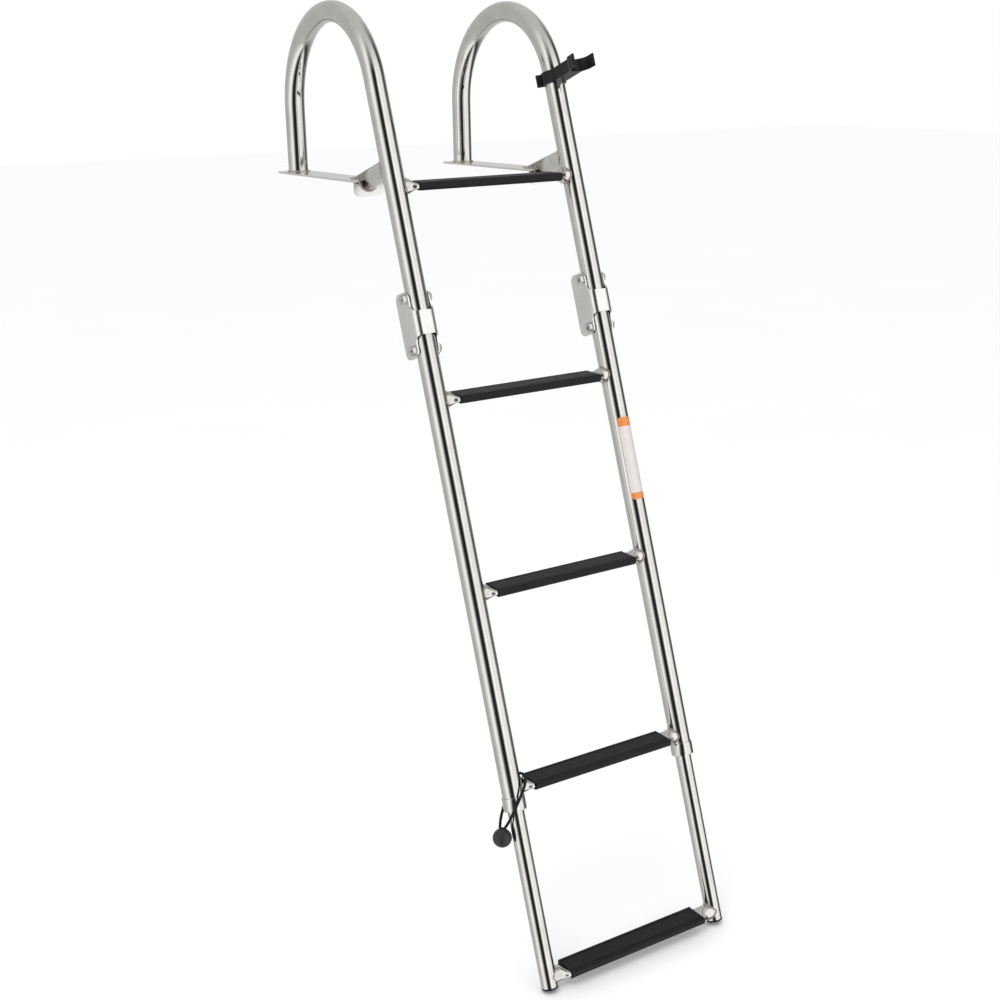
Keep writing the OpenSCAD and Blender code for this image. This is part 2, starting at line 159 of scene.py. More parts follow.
# ---------------------------------------------------------------- materials
class Tree:
    """Short calls for building a node tree. An input is a plain value or another node's socket."""

    def __init__(self, tree):
        self.tree = tree

    def feed(self, socket, value):
        if isinstance(value, bpy.types.NodeSocket):
            self.tree.links.new(value, socket)
        else:
            socket.default_value = value

    def add(self, kind, settings=None, **inputs):
        node = self.tree.nodes.new("ShaderNode" + kind)
        for key, value in (settings or {}).items():
            setattr(node, key, value)
        for key, value in inputs.items():
            self.feed(node.inputs[key.replace("_", " ")], value)
        return node

    def ramp(self, value, stops):
        node = self.add("ValToRGB", Fac=value)
        elements = node.color_ramp.elements
        while len(elements) < len(stops):
            elements.new(1.0)
        for element, (at, colour) in zip(elements, stops):
            element.position = at
            element.color = (*colour, 1)
        return node.outputs["Color"]

    def maths(self, operation, *values):
        node = self.add("Math", {"operation": operation})
        for socket, value in zip(node.inputs, values):
            self.feed(socket, value)
        return node.outputs[0]

    def span(self, value, low, high, at_low, at_high):
        return self.add("MapRange", {"clamp": True}, Value=value, From_Min=low, From_Max=high,
                        To_Min=at_low, To_Max=at_high).outputs["Result"]

    def mix(self, factor, a, b):
        """Mixes two colours: sockets 0, 6 and 7 are the colour mixer's own."""
        node = self.add("Mix", {"data_type": "RGBA"})
        for number, value in ((0, factor), (6, a), (7, b)):
            self.feed(node.inputs[number], value)
        return node.outputs[2]


class Surface(Tree):
    """A material's tree, which ends in one Principled shader."""

    def __init__(self, name, **sockets):
        self.material = bpy.data.materials.new(name)
        self.material.use_nodes = True
        super().__init__(self.material.node_tree)
        self.shader = self.tree.nodes["Principled BSDF"]
        for socket, value in sockets.items():
            self.plug(socket.replace("_", " "), value)

    def plug(self, socket, value):
        self.feed(self.shader.inputs[socket], value)

    def place(self, scale, along_surface=False):
        """Coordinates in millimetres, stretched by scale. A swept piece has them along its surface."""
        if along_surface:
            source = self.add("UVMap", {"uv_map": "surface"}).outputs["UV"]
        else:
            source = self.add("TexCoord").outputs["Object"]
        mapping = self.add("Mapping", Vector=source, Scale=[1000 * s for s in scale])
        return mapping.outputs["Vector"]

    def noise(self, vector, detail, rough):
        return self.add("TexNoise", Vector=vector, Scale=1.0, Detail=detail,
                        Roughness=rough).outputs["Fac"]

    def bump(self, height, strength, distance):
        self.plug("Normal", self.add("Bump", Height=height, Strength=strength,
                                     Distance=distance).outputs["Normal"])


def steel(name, dark, light, rough_low, rough_high, brush, along_surface, bump=0.06):
    """Bright stainless steel with the fine lines that polishing or brushing leaves across it."""
    n = Surface(name, Metallic=1.0)
    lines = n.noise(n.place(brush, along_surface), 4, 0.7)
    clouds = n.noise(n.place((0.02, 0.02, 0.02), along_surface), 4, 0.6)
    n.plug("Base Color", n.ramp(n.maths("ADD", n.maths("MULTIPLY", lines, 0.45),
                                        n.maths("MULTIPLY", clouds, 0.55)),
                                [(0.34, dark), (0.64, light)]))
    both = n.maths("ADD", n.maths("MULTIPLY", lines, 0.5), n.maths("MULTIPLY", clouds, 0.5))
    n.plug("Roughness", n.span(both, 0.35, 0.65, rough_low, rough_high))
    n.bump(lines, bump, 0.0002)
    return n.material


def moulded(name, colour, rough, grain, bump, specular=0.5):
    """Black or white moulded plastic or rubber with a fine grain and slightly rubbed highs."""
    n = Surface(name, Specular_IOR_Level=specular)
    fine = n.noise(n.place((grain,) * 3), 3, 0.6)
    broad = n.noise(n.place((0.035,) * 3), 3, 0.5)
    low = [c * 0.75 for c in colour]
    high = [c * 1.3 + 0.002 for c in colour]
    n.plug("Base Color", n.ramp(broad, [(0.3, low), (0.7, high)]))
    n.plug("Roughness", n.span(n.maths("ADD", n.maths("MULTIPLY", fine, 0.4),
                                       n.maths("MULTIPLY", broad, 0.6)),
                               0.3, 0.7, rough - 0.08, rough + 0.1))
    n.bump(fine, bump, 0.0003)
    return n.material


def brace_steel():
    """Polished steel with painted shade, dark and mottled, near the deck plate where the brace runs in
    under it.
    """
    n = Surface("brace_steel", Metallic=1.0)
    axes = n.add("SeparateXYZ", Vector=n.add("TexCoord").outputs["Object"])
    spots = n.noise(n.place((0.35,) * 3), 4, 0.65)
    clouds = n.noise(n.place((0.02,) * 3), 4, 0.6)
    unshaded = n.ramp(clouds, [(0.34, (0.60, 0.585, 0.57)), (0.64, (0.72, 0.71, 0.70))])
    # painted shade: near-black mottled steel for where the brace runs in under the deck plate
    painted_shade = n.ramp(spots, [(0.40, (0.07, 0.065, 0.06)), (0.60, (0.50, 0.47, 0.44))])
    edge = n.maths("ADD", axes.outputs["Y"], n.maths("MULTIPLY", spots, 0.03))
    # the painted shade fades in over the last 16 mm before the plate, with a mottled edge
    n.plug("Base Color", n.mix(n.span(edge, -0.016, -0.004, 0.0, 1.0), unshaded, painted_shade))
    n.plug("Roughness", n.span(spots, 0.3, 0.7, 0.08, 0.22))
    n.bump(spots, 0.06, 0.0002)
    return n.material


def weld_steel():
    """The bead, straw to brown where the heat has coloured it."""
    n = Surface("weld_steel", Metallic=1.0)
    spots = n.noise(n.place((0.3,) * 3), 4, 0.6)
    n.plug("Base Color", n.ramp(spots, [(0.3, (0.30, 0.25, 0.20)), (0.55, (0.55, 0.50, 0.45)),
                                        (0.75, (0.68, 0.66, 0.63))]))
    n.plug("Roughness", n.span(spots, 0.3, 0.7, 0.2, 0.42))
    n.bump(n.noise(n.place((1.2,) * 3), 2, 0.5), 0.25, 0.0002)
    return n.material


def braided_cord():
    """Black woven cover, with fibres that run along the cord."""
    n = Surface("braided_cord", Specular_IOR_Level=0.2, Sheen_Weight=0.06)
    fibres = n.noise(n.place((3.0, 0.5, 1.0), True), 2, 0.6)
    n.plug("Base Color", n.ramp(fibres, [(0.3, (0.004,) * 3), (0.75, (0.018,) * 3)]))
    n.plug("Roughness", n.span(fibres, 0.3, 0.7, 0.6, 0.85))
    n.bump(fibres, 0.3, 0.0003)
    return n.material


def vinyl_label():
    """Plain sticker: orange bands at both ends of a pale panel."""
    n = Surface("vinyl_label", Specular_IOR_Level=0.5, Coat_Weight=0.6, Coat_Roughness=0.12)
    uv = n.add("UVMap", {"uv_map": "surface"}).outputs["UV"]
    axes = n.add("SeparateXYZ", Vector=uv)
    along = n.maths("DIVIDE", axes.outputs["Y"], LABEL_LENGTH)
    orange, panel = (0.80, 0.21, 0.02), (0.72, 0.68, 0.66)
    bands = n.ramp(along, [(0.0, orange), (0.088, orange), (0.094, panel), (0.895, panel),
                           (0.901, orange), (1.0, orange)])
    rubbed = n.noise(n.place((0.12,) * 3), 4, 0.6)
    n.plug("Base Color", n.mix(n.span(rubbed, 0.4, 0.75, 0.0, 0.25), bands, (0.55, 0.52, 0.5, 1)))
    n.plug("Roughness", n.span(rubbed, 0.3, 0.7, 0.25, 0.4))
    n.bump(rubbed, 0.05, 0.0002)
    return n.material


POLISHED = steel("polished_steel", (0.58, 0.57, 0.555), (0.70, 0.69, 0.675), 0.04, 0.10,
                 (0.05, 1.4, 1.0), True)
SATIN = steel("satin_steel", (0.72, 0.715, 0.70), (0.84, 0.835, 0.825), 0.16, 0.28,
              (1.6, 0.06, 0.6), False, 0.1)
BRACE_STEEL = brace_steel()
FASTENER = steel("fastener_steel", (0.50, 0.49, 0.48), (0.70, 0.69, 0.68), 0.14, 0.28,
                 (0.9, 0.9, 0.9), False, 0.08)
TREAD_PLASTIC = moulded("tread_plastic", (0.008, 0.008, 0.0085), 0.45, 2.4, 0.16, 0.18)
CLIP_PLASTIC = moulded("clip_plastic", (0.007, 0.007, 0.0075), 0.40, 1.6, 0.10, 0.25)
RUBBER = moulded("ball_rubber", (0.013, 0.013, 0.014), 0.42, 1.2, 0.12, 0.5)
NYLON = moulded("nylon", (0.62, 0.61, 0.57), 0.42, 0.8, 0.05)
WELD = weld_steel()
CORD = braided_cord()
LABEL = vinyl_label()


# ---------------------------------------------------------------- mesh helpers
def piece(name, mesh, material, nodes, smooth=36, body_node=None):
    """Makes the mesh an object that rides with, and stands for, these CAD nodes."""
    for polygon in mesh.polygons:
        polygon.use_smooth = True
    mesh.set_sharp_from_angle(angle=math.radians(smooth))
    mesh.materials.append(material)
    obj = bpy.data.objects.new(name, mesh)
    bpy.context.scene.collection.objects.link(obj)
    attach(obj, frame["nodes"][body_node or nodes[0]]["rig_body"])
    if nodes:
        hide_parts(*nodes)
    return obj


def merged(*parts):
    """One (points, faces, uvs) from several."""
    points, faces, uvs = [], [], []
    for part_points, part_faces, part_uvs in parts:
        faces += [[i + len(points) for i in face] for face in part_faces]
        points += part_points
        uvs += part_uvs
    return points, faces, uvs


def loft(rings, joined=True, ends=(False, False), loop=False):
    """Skins rings of points, with (u, v) in metres. loop joins the last ring to the first."""
    count = len(rings[0])
    points = [Vector(p) for ring in rings for p in ring]
    faces, uvs = [], []
    middle = rings[len(rings) // 4]
    width = [0.0]
    for k in range(count):
        width.append(width[-1] + (Vector(middle[(k + 1) % count]) - Vector(middle[k])).length)
    length = [0.0]
    for a, b in zip(rings[:-1], rings[1:]):
        length.append(length[-1] + max((Vector(q) - Vector(p)).length for p, q in zip(a, b)))
    rows = len(rings) if loop else len(rings) - 1
    for i in range(rows):
        j = (i + 1) % len(rings)
        v0, v1 = length[i], length[i + 1] if i + 1 < len(length) else length[i] + 0.001
        for k in range(count if joined else count - 1):
            m = (k + 1) % count
            faces.append([i * count + k, i * count + m, j * count + m, j * count + k])
            uvs.append([(width[k], v0), (width[k + 1], v0), (width[k + 1], v1), (width[k], v1)])
    for wanted, ring, order in ((ends[0], 0, -1), (ends[1], len(rings) - 1, 1)):
        if wanted:
            faces.append([ring * count + k for k in range(count)][::order])
            uvs.append([(0.0, 0.0)] * count)
    return points, faces, uvs


def to_mesh(name, part, bevel=0.0, segments=2, angle=50):
    points, faces, uvs = part
    mesh = bpy.data.meshes.new(name)
    mesh.from_pydata([tuple(p) for p in points], [], faces)
    layer = mesh.uv_layers.new(name="surface")
    layer.data.foreach_set("uv", [c for face in uvs for uv in face for c in uv])
    bm = bmesh.new()
    bm.from_mesh(mesh)
    bmesh.ops.remove_doubles(bm, verts=bm.verts, dist=1e-7)
    bmesh.ops.recalc_face_normals(bm, faces=bm.faces)
    if bevel:
        edges = [e for e in bm.edges
                 if len(e.link_faces) == 2 and e.calc_face_angle() > math.radians(angle)]
        bmesh.ops.bevel(bm, geom=edges, offset=bevel, segments=segments, profile=0.5,
                        affect="EDGES", clamp_overlap=True)
    bm.to_mesh(mesh)
    bm.free()
    return mesh


def keep_flats(obj):
    """Shades the large flat faces flat and only the rounded edges round."""
    modifier = obj.modifiers.new("flats", "WEIGHTED_NORMAL")
    modifier.keep_sharp = True
    return obj


def on_circle(turn, radius, a, b):
    return radius * (math.cos(turn) * a + math.sin(turn) * b)


def circle(centre, radius, a, b, count):
    return [centre + on_circle(2 * math.pi * k / count, radius, a, b) for k in range(count)]


def hollow(path, radius, wall, sections=64, rim=0.0004):
    """A tube with softened rims along (centre, first side, second side) stations."""
    def ring(station, r, shift=0.0):
        centre, a, b = station
        return circle(centre + shift * a.cross(b), r, a, b, sections)
    first, last = path[0], path[-1]
    inner = radius - wall
    rings = [ring(first, radius - rim), ring(first, radius, rim)]
    rings += [ring(s, radius) for s in path[1:-1]]
    rings += [ring(last, radius, -rim), ring(last, radius - rim), ring(last, inner + rim),
              ring(last, inner, -rim)]
    rings += [ring(s, inner) for s in reversed(path[1:-1])]
    rings += [ring(first, inner, rim), ring(first, inner + rim)]
    return loft(rings, loop=True)


def straight(side, low_at, high_at, pieces=24):
    """Stations up a side tube, from low_at to high_at."""
    return [(on_side(side, low_at + (high_at - low_at) * i / pieces), X, INBOARD)
            for i in range(pieces + 1)]


def turned(centre, axis, across, profile, sections=64):
    """Turns a closed profile of (radius, distance along the axis), each a number or f(angle)."""
    def value(measure, turn):
        return measure(turn) if callable(measure) else measure

    other = axis.cross(across)
    rings = []
    for radius, along in profile:
        turns = [2 * math.pi * k / sections for k in range(sections)]
        rings.append([centre + value(along, turn) * axis
                      + on_circle(turn, value(radius, turn), across, other) for turn in turns])
    return loft(rings, loop=True)


def rounded(corners, steps=6):
    """A closed outline whose (x, y, radius) corners are rounded."""
    points = []
    count = len(corners)
    for i, (x, y, radius) in enumerate(corners):
        here = Vector((x, y))
        before = Vector(corners[i - 1][:2]) - here
        after = Vector(corners[(i + 1) % count][:2]) - here
        angle = before.angle(after)
        back = min(radius / math.tan(angle / 2), before.length * 0.499, after.length * 0.499)
        radius = back * math.tan(angle / 2)
        bisector = (before.normalized() + after.normalized()).normalized()
        centre = here + bisector * (radius / math.sin(angle / 2))
        start, end = here + before.normalized() * back, here + after.normalized() * back
        a0 = math.atan2(start.y - centre.y, start.x - centre.x)
        a1 = math.atan2(end.y - centre.y, end.x - centre.x)
        turn = (a1 - a0 + math.pi) % (2 * math.pi) - math.pi
        points += [centre + radius * Vector((math.cos(a0 + turn * s / steps),
                                             math.sin(a0 + turn * s / steps)))
                   for s in range(steps + 1)]
    return points


# ---------------------------------------------------------------- hooks, deck plates and braces
def hook_path(side):
    """Stations up the upright leg, over the bend and down the leaning leg."""
    leg_rows, bend_rows, lean_rows = 8, 72, 16
    x = side * SIDE_X
    stations = [(Vector((x, LEG_Y, PLATE_T + (BEND_Z - PLATE_T) * i / leg_rows)), X,
                 Vector((0, 1, 0))) for i in range(leg_rows + 1)]
    for i in range(1, bend_rows + 1):
        turn = (math.pi - LEAN) * i / bend_rows
        out = Vector((0, math.cos(turn), math.sin(turn)))
        stations.append((Vector((x, BEND_Y, BEND_Z)) + HOOK_R * out, X, out))
    start, _, out = stations[-1]
    end = on_side(side, HOOK_END_AT)
    stations += [(start.lerp(end, i / lean_rows), X, out) for i in range(1, lean_rows + 1)]
    return stations


def make_hooks():
    for word, side in SIDES.items():
        mesh = to_mesh("hook", hollow(hook_path(side), TUBE_R, WALL))
        piece(f"hook_{word}", mesh, POLISHED, [f"hook_tube_{word}"])


def weld(points, name, body_node, radius):
    """A ripple-topped bead along a closed line of points."""
    sample_step, ripple_step = 0.55 * MM, 2.2 * MM
    line = [Vector(p) for p in points]
    count = len(line)
    gaps = [(line[(i + 1) % count] - line[i]).length for i in range(count)]
    total = sum(gaps)
    samples = max(80, int(total / sample_step))
    spaced, done, i = [], 0.0, 0
    for k in range(samples):
        wanted = k * (total / samples)
        while done + gaps[i % count] < wanted:
            done += gaps[i % count]
            i += 1
        share = min(1.0, (wanted - done) / max(gaps[i % count], 1e-9))
        spaced.append(line[i % count].lerp(line[(i + 1) % count], share))
    centre = sum(spaced, Vector()) / samples
    ripples = max(12, round(total / ripple_step))
    rings = []
    for k, p in enumerate(spaced):
        aim = (spaced[(k + 1) % samples] - spaced[k - 1]).normalized()
        out = p - centre
        out = (out - out.dot(aim) * aim).normalized()
        phase = (k * ripples / samples) % 1.0
        swell = 0.86 + 0.2 * math.sqrt(max(0.0, math.sin(math.pi * phase)))
        rings.append(circle(p, radius * swell, out, aim.cross(out), 10))
    mesh = to_mesh(name, loft(rings, loop=True))
    return piece(name, mesh, WELD, [], body_node=body_node, smooth=70)


def corner_cut(to_end, corner):
    """How far a round corner cuts an edge back, at a distance from the end."""
    if to_end >= corner:
        return 0.0
    return corner - math.sqrt(max(0.0, corner ** 2 - (corner - to_end) ** 2))


def plate_rings():
    """(point on the bent sheet's middle, normal, half width), from the tail to the lip's end."""
    middle = PLATE_BEND + PLATE_T / 2
    flat = PLATE_END_Y - PLATE_BEND
    arc = middle * math.pi / 2
    total = flat + arc + LIP_H - PLATE_BEND
    cuts = [PLATE_CORNER * (1 - math.cos(math.pi / 2 * i / 12)) for i in range(13)]
    places = cuts + [flat * share for share in (0.1, 0.2, 0.35, 0.5, 0.65, 0.8, 0.9)]
    places += [flat + arc * i / 10 for i in range(11)] + [total - cut for cut in cuts]
    for place in sorted(places):
        if place <= flat:
            point, out = Vector((0, PLATE_END_Y - place, PLATE_T / 2)), Vector((0, 0, 1))
        elif place <= flat + arc:
            turn = (place - flat) / middle
            out = Vector((0, -math.sin(turn), math.cos(turn)))
            point = Vector((0, PLATE_BEND, -PLATE_BEND)) + middle * out
        else:
            out = Vector((0, -1, 0))
            point = Vector((0, PLATE_BEND - middle, -PLATE_BEND - (place - flat - arc)))
        yield point, out, PLATE_W / 2 - corner_cut(min(place, total - place), PLATE_CORNER)


def make_plates():
    columns = 14
    for word, side in SIDES.items():
        rings = []
        for point, out, half in plate_rings():
            across = [half * (2 * c / columns - 1) for c in range(columns + 1)]
            centre = point + side * SIDE_X * X
            top = [centre + x * X + out * PLATE_T / 2 for x in across]
            rings.append(top + [centre + x * X - out * PLATE_T / 2 for x in reversed(across)])
        mesh = to_mesh("plate", loft(rings, ends=(True, True)), bevel=0.45 * MM, angle=60)
        keep_flats(piece(f"deck_plate_{word}_shell", mesh, SATIN,
                         [f"deck_plate_{word}"], smooth=50))
        lift = 0.6 * MM
        foot = circle(Vector((side * SIDE_X, LEG_Y, PLATE_T + lift)), TUBE_R + lift, X,
                      Vector((0, 1, 0)), 64)
        weld(foot, f"foot_weld_{word}", f"deck_plate_{word}", 1.7 * MM)


def in_plate(y, z):
    """True inside the bent plate, or beneath it, in a side view."""
    if y >= PLATE_BEND:
        return z < PLATE_T
    if z <= -PLATE_BEND:
        return y > -PLATE_T
    return math.hypot(y - PLATE_BEND, z + PLATE_BEND) < PLATE_BEND + PLATE_T


def brace_line(side, turn, radius):
    """One line along the brace's wall: where it leaves the side tube and where it meets the plate."""
    into_tube, into_plate, longest, stride = 0.3 * MM, 0.2 * MM, 120 * MM, 0.1 * MM
    along = Vector((0, math.cos(BRACE_RISE), -math.sin(BRACE_RISE)))
    over = Vector((0, math.sin(BRACE_RISE), math.cos(BRACE_RISE)))
    start = Vector((side * SIDE_X, -PLATE_T, PLATE_T)) + on_circle(turn, radius, X, over)
    x = radius * math.cos(turn)
    depth = math.sqrt(TUBE_R ** 2 - x ** 2) if abs(x) < TUBE_R else 0.0
    far = (depth - (start - on_side(side, 0)).dot(INBOARD)) / along.dot(INBOARD)
    near = far
    while near < longest:
        reached = start + near * along
        if in_plate(reached.y, reached.z):
            break
        near += stride
    return start + (far - into_tube) * along, start + (near + into_plate) * along


def brace_ends(side, radius):
    turns = [2 * math.pi * k / 96 for k in range(96)]
    return [brace_line(side, turn, radius) for turn in turns]


def make_braces():
    rows, lift = 16, 0.4 * MM
    for word, side in SIDES.items():
        rings = []
        for radius, order in ((BRACE_R, 1), (BRACE_R - WALL, -1)):
            ends = brace_ends(side, radius)
            wall = [[top.lerp(foot, i / rows) for top, foot in ends] for i in range(rows + 1)]
            rings += wall[::order]
        node = f"brace_tube_{word}"
        piece(f"brace_{word}", to_mesh("brace", loft(rings, loop=True)), BRACE_STEEL,
              [node])
        tops, feet = zip(*brace_ends(side, BRACE_R + lift))
        weld(tops, f"brace_top_weld_{word}", node, 1.5 * MM)
        weld(feet, f"brace_foot_weld_{word}", node, 1.7 * MM)



# ---------------------------------------------------------------- steps and treads
def step_section(share, inset, count=72):
    """Points (inboard, up) of the step tube's section: round at share 0, pressed flat at share 1."""
    thick, wide = FLAT_T / 2 - inset, FLAT_W / 2 - inset
    shift = wide - thick
    flat, bow = 2 * shift, math.pi * thick
    girth = 2 * flat + 2 * bow
    section = []
    for k in range(count):
        turn = 2 * math.pi * k / count
        round_point = Vector((math.cos(turn), math.sin(turn))) * (STEP_R - inset)
        run = (girth * k / count + bow / 2) % girth
        if run < bow:
            angle = run / thick - math.pi / 2
            flat_point = Vector((shift + thick * math.cos(angle), thick * math.sin(angle)))
        elif run < bow + flat:
            flat_point = Vector((shift - (run - bow), thick))
        elif run < 2 * bow + flat:
            angle = (run - bow - flat) / thick + math.pi / 2
            flat_point = Vector((-shift + thick * math.cos(angle), thick * math.sin(angle)))
        else:
            flat_point = Vector((-shift + (run - 2 * bow - flat), -thick))
        section.append(round_point.lerp(flat_point, share))
    return section


def step_end_x(point, post_r):
    """Where a line along X at (inboard, up) meets the side tube, which leans."""
    off = point.x * math.cos(LEAN) - point.y * math.sin(LEAN)
    return SIDE_X - math.sqrt(max(0.0, post_r ** 2 - off ** 2))


def step_rings(centre, post_r, inset):
    """Sections along a step tube, from the left side tube to the right one."""
    rows, into_post = 12, 0.2 * MM
    half = []
    for i in range(rows + 1):
        share = 1 - i / rows
        half.append((FLAT_END + (ROUND_END - FLAT_END) * i / rows, share * share * (3 - 2 * share)))
    stations = [(-x, share) for x, share in reversed(half)] + [(0.0, 1.0)] + half
    rings = [[centre + Vector((x, p.x, p.y)) for p in step_section(share, inset)]
             for x, share in stations]
    ends = [[centre + Vector((side * (step_end_x(p, post_r) + into_post), p.x, p.y))
             for p in step_section(0, inset)] for side in (LEFT, RIGHT)]
    return [ends[0], *rings, ends[1]]


def make_steps():
    weld_lift, weld_sink = 0.35 * MM, 0.1 * MM
    for number in range(1, 6):
        post_r = SLIDE_R if number == 5 else TUBE_R
        centre, node = step_centre(number), f"step_tube_{number}"
        outer, inner = (step_rings(centre, post_r, inset) for inset in (0, WALL))
        mesh = to_mesh("step", loft(outer + inner[::-1], loop=True))
        piece(f"step_{number}", mesh, POLISHED, [node])
        for word, side in SIDES.items():
            line = []
            for k in range(96):
                turn = 2 * math.pi * k / 96
                p = Vector((math.cos(turn), math.sin(turn))) * (STEP_R + weld_lift)
                x = side * (step_end_x(p, post_r) - weld_sink)
                line.append(centre + Vector((x, p.x, p.y)))
            weld(line, f"step_weld_{number}_{word}", node, 1.2 * MM)


def tread_outline():
    """The sleeve's section (inboard, up): ribbed top, rounded nosings, open below."""
    half, top, low, slot = TREAD_D / 2, TREAD_TOP, TREAD_LOW, 7 * MM
    outer = [(slot, low, 0.5 * MM), (half - 4 * MM, low, 2 * MM), (half, low + 4 * MM, 2.5 * MM),
             (half, top - 1 * MM, 2.4 * MM)]
    right_top = [(half - 2.2 * MM, top, 0.8 * MM)]
    for x in (16 * MM, 13.4 * MM):  # deep grooves beside the nosing
        floor, corner = top - 0.9 * MM, 0.2 * MM
        right_top += [(x, top, corner), (x - 0.4 * MM, floor, corner),
                      (x - 1.2 * MM, floor, corner), (x - 1.6 * MM, top, corner)]
    for x in (9 * MM, 5.4 * MM, 1.8 * MM):  # fine notches across the middle
        edge, corner = top - 0.1 * MM, 0.1 * MM
        right_top += [(x, edge, corner), (x - 0.4 * MM, top - 0.5 * MM, corner),
                      (x - 0.8 * MM, edge, corner)]
    right = outer + right_top
    shell = rounded(right + [(-x, y, radius) for x, y, radius in reversed(right)], 4)
    fit = 0.05 * MM  # the sleeve's hold is that much looser than the flattened tube
    thick, wide = FLAT_T / 2 + fit, FLAT_W / 2 + fit
    hold = [Vector((-slot, -thick))]
    for side in (LEFT, RIGHT):
        for i in range(13):
            angle = side * math.pi / 2 - math.pi * i / 12
            hold.append(Vector((side * (wide - thick) + thick * math.cos(angle),
                                thick * math.sin(angle))))
    hold.append(Vector((slot, -thick)))
    return shell + hold


def make_treads():
    outline, rows = tread_outline(), 8
    for number in range(1, 6):
        centre = step_centre(number)
        stations = [-TREAD_L / 2 + TREAD_L * i / rows for i in range(rows + 1)]
        rings = [[centre + Vector((x, p.x, p.y)) for p in outline] for x in stations]
        mesh = to_mesh("tread", loft(rings, ends=(True, True)), bevel=0.5 * MM, angle=75)
        keep_flats(piece(f"tread_{number}_sleeve", mesh, TREAD_PLASTIC,
                         [f"tread_{number}"], smooth=50))


# ---------------------------------------------------------------- side tubes and telescope
def make_side_tubes():
    for word, side in SIDES.items():
        for name, low_at, high_at, radius, node in (
                ("main_tube", SIDE_END_AT, SIDE_TOP_AT, TUBE_R, "side_tube"),
                ("sliding_tube", SLIDE_END_AT - CAP_T, SLIDE_TOP_AT, SLIDE_R, "slide_tube")):
            mesh = to_mesh(name, hollow(straight(side, low_at, high_at), radius, WALL))
            piece(f"{name}_{word}", mesh, POLISHED, [f"{node}_{word}"])
        make_collar(word, side)
        make_foot_cap(word, side)


def make_collar(word, side):
    """The ferrule that guides the sliding tube, with rounded rims."""
    bore, gap, soft, round_r = SLIDE_R + 0.3 * MM, 0.02 * MM, 0.5 * MM, 1.2 * MM
    length = COLLAR_END_AT - COLLAR_TOP_AT
    lip = COLLAR_END_AT - SIDE_END_AT
    profile = [(bore, soft), (bore + soft, 0), (COLLAR_R - round_r, 0),
               (COLLAR_R - 0.35 * MM, 0.35 * MM), (COLLAR_R, round_r),
               (COLLAR_R, 0.5 * length), (COLLAR_R, length - soft),
               (COLLAR_R - 0.15 * MM, length - 0.15 * MM), (COLLAR_R - soft, length),
               (TUBE_R + gap, length), (TUBE_R + gap, lip), (bore, lip)]
    mesh = to_mesh("collar", turned(on_side(side, COLLAR_END_AT), UP_TUBE, X, profile))
    piece(f"ferrule_{word}", mesh, POLISHED, [f"collar_{word}"])


def make_foot_cap(word, side):
    """The plastic foot, with a stem up the sliding tube."""
    axle, round_r, soft = 0.3 * MM, 0.9 * MM, 0.2 * MM
    stem_r, stem_top, chamfer = SLIDE_R - WALL, CAP_T + 14 * MM, 1 * MM
    profile = [(axle, 0), (SLIDE_R - round_r, 0), (SLIDE_R - 0.25 * MM, 0.25 * MM),
               (SLIDE_R, round_r), (SLIDE_R, CAP_T - soft), (SLIDE_R - soft, CAP_T),
               (stem_r, CAP_T), (stem_r, stem_top - chamfer), (stem_r - chamfer, stem_top),
               (axle, stem_top)]
    mesh = to_mesh("cap", turned(on_side(side, SLIDE_END_AT), UP_TUBE, X, profile))
    piece(f"foot_{word}", mesh, TREAD_PLASTIC, [f"foot_cap_{word}"])



# ---------------------------------------------------------------- fold brackets and their bolts
EAR_HALF, EAR_REACH, EAR_FRONT, EAR_CORNER = 49 * MM, 31 * MM, 7 * MM, 11 * MM
WEB_HALF, WEB_SWEEP = 17.5 * MM, 11.5 * MM
STRAP_R = 10 * MM + BRACKET_T / 2
STRAP_HALF = BRACKET_IN + BRACKET_T / 2
TURN_FROM = STRAP_HALF - STRAP_R  # how far in front of the axis the ears start to turn


def strap_place(u):
    """(x, inboard, normal) on the strap's middle; u runs from an ear's rear edge to the web's middle."""
    straight_l = EAR_REACH + TURN_FROM
    arc = STRAP_R * math.pi / 2
    if u < straight_l:
        return STRAP_HALF, EAR_REACH - u, (1.0, 0.0)
    if u < straight_l + arc:
        turn = (u - straight_l) / STRAP_R
        return (STRAP_HALF - STRAP_R + STRAP_R * math.cos(turn),
                -TURN_FROM - STRAP_R * math.sin(turn), (math.cos(turn), -math.sin(turn)))
    return STRAP_HALF - STRAP_R - (u - straight_l - arc), -STRAP_HALF, (0.0, -1.0)


def strap_u(inboard):
    """The inverse, for a place on the ear or its turn."""
    if inboard > -TURN_FROM:
        return EAR_REACH - inboard
    share = min(1.0, (-TURN_FROM - inboard) / STRAP_R)
    return EAR_REACH + TURN_FROM + STRAP_R * math.asin(share)


def ear_limits(v):
    """The ear's rear and front edges at a height v above the fold's middle."""
    v = abs(v)
    cut = corner_cut(EAR_HALF - v, EAR_CORNER)
    rear, front = EAR_REACH - cut, cut - EAR_FRONT
    if v < WEB_HALF + WEB_SWEEP:
        front -= corner_cut(v - WEB_HALF, WEB_SWEEP)
    return rear, front


